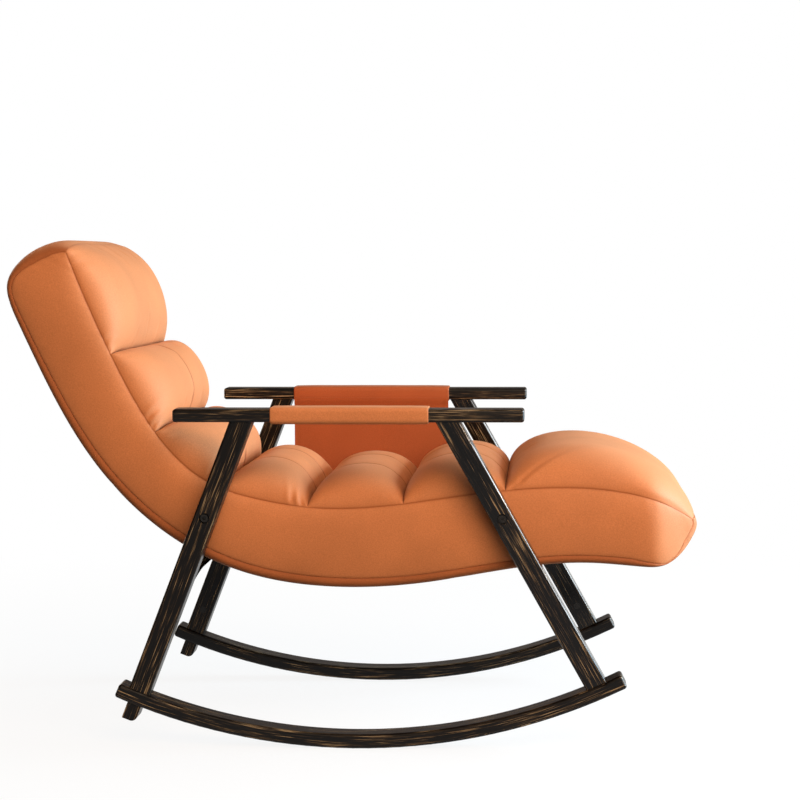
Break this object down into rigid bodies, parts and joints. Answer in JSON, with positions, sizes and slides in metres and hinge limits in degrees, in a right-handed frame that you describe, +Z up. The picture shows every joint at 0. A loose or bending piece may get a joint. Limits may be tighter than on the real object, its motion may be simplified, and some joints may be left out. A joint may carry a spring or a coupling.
{
  "type": "rocking lounge chair",
  "caption": "Rocking lounge chair: dark wooden side frames on curved rockers carry a long S-shaped seat with padded cross rolls, arm sleeves and a hanging side pouch.",
  "frame": {"origin": "on the floor, below the middle of the chair's outer box", "axes": "+X forward, the way the sitter faces; +Y to the sitter's left; +Z up"},
  "size_m": [1.1664, 0.6364, 0.8466],
  "materials": {
    "stained_wood": "dark stain with open grain, satin lacquer",
    "stop_wood": "plain black paint",
    "dowel_wood": "raw beech",
    "dark_hardware": "black oxide",
    "frame_steel": "black powder coat",
    "webbing": "woven elastic",
    "foam": "open-cell foam",
    "orange_cover": "matte coated fabric with a fine grain",
    "orange_arm_fabric": "matte coated fabric with a fine grain"
  },
  "bodies": {
    "chair": {"arm_rail_left": "stained_wood", "arm_rail_right": "stained_wood", "front_leg_left": "stained_wood", "front_leg_right": "stained_wood", "rear_leg_left": "stained_wood", "rear_leg_right": "stained_wood", "rocker_left": "stained_wood", "rocker_right": "stained_wood", "rear_stretcher": "stained_wood", "stop_block_left": "stop_wood", "stop_block_right": "stop_wood", "stretcher_dowels": "dowel_wood", "front_foot_bolts": "dark_hardware", "rear_foot_bolts": "dark_hardware", "barrel_nuts": "dark_hardware", "seat_bolts": "dark_hardware", "seat_bolt_washers": "dark_hardware", "seat_spacers": "dark_hardware", "seat_rail_left": "frame_steel", "seat_rail_right": "frame_steel", "head_tube": "frame_steel", "back_tube": "frame_steel", "lumbar_tube": "frame_steel", "seat_tube": "frame_steel", "knee_tube": "frame_steel", "foot_tube": "frame_steel", "seat_lugs": "frame_steel", "back_webbing": "webbing", "seat_webbing": "webbing", "leg_webbing": "webbing", "foam_core": "foam", "side_boxing_left": "orange_cover", "side_boxing_right": "orange_cover", "under_cover": "orange_cover", "head_roll": "orange_cover", "lumbar_roll": "orange_cover", "lower_back_roll": "orange_cover", "seat_roll_rear": "orange_cover", "seat_roll_middle": "orange_cover", "seat_roll_front": "orange_cover", "leg_roll": "orange_cover", "arm_sleeve_left": "orange_arm_fabric", "arm_sleeve_right": "orange_arm_fabric"},
    "pouch": {"pouch_back": "orange_arm_fabric", "pouch_pocket": "orange_arm_fabric"}
  },
  "joints": [
    {"name": "pouch_swing", "type": "hinge", "parent": "chair", "child": "pouch", "pos_m": [-0.005, 0.267, 0.5415], "axis": [1, 0, 0], "range_deg": [0, 70]}
  ]
}
